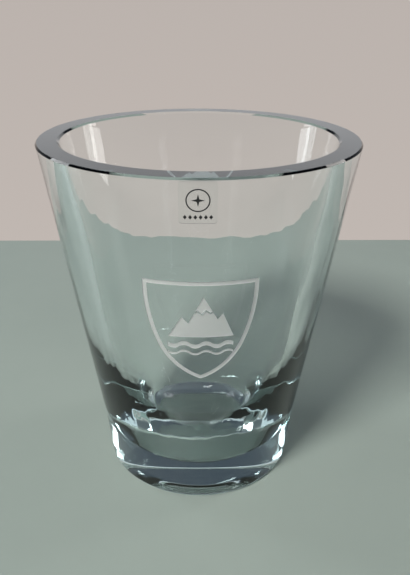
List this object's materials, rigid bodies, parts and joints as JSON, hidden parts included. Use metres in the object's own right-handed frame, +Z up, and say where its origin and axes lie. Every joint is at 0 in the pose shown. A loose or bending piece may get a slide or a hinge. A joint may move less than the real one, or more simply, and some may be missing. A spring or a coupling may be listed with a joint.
{
  "type": "crystal beaker vase",
  "caption": "Thick-walled tapered clear crystal beaker with a heavy foot, ground flat rim, engraved shield and a small clear stick-on label under the rim.",
  "frame": {"origin": "centre of the flat underside of the foot, on the beaker's own axis", "axes": "+Z up along the beaker's axis, out of its mouth; -Y is the front, the side with the label and the engraved shield"},
  "size_m": [0.1038, 0.1039, 0.121],
  "materials": {
    "crystal": "polished, with a sandblasted shield and motif on the front",
    "adhesive": "clear",
    "film": "clear, glossy",
    "ink": "matt black print"
  },
  "bodies": {
    "root": {"glass_body": "crystal", "label_adhesive": "adhesive", "label_film": "film", "label_ring": "ink", "label_star": "ink", "label_mark_1": "ink", "label_mark_2": "ink", "label_mark_3": "ink", "label_mark_4": "ink", "label_mark_5": "ink", "label_mark_6": "ink"}
  },
  "joints": []
}
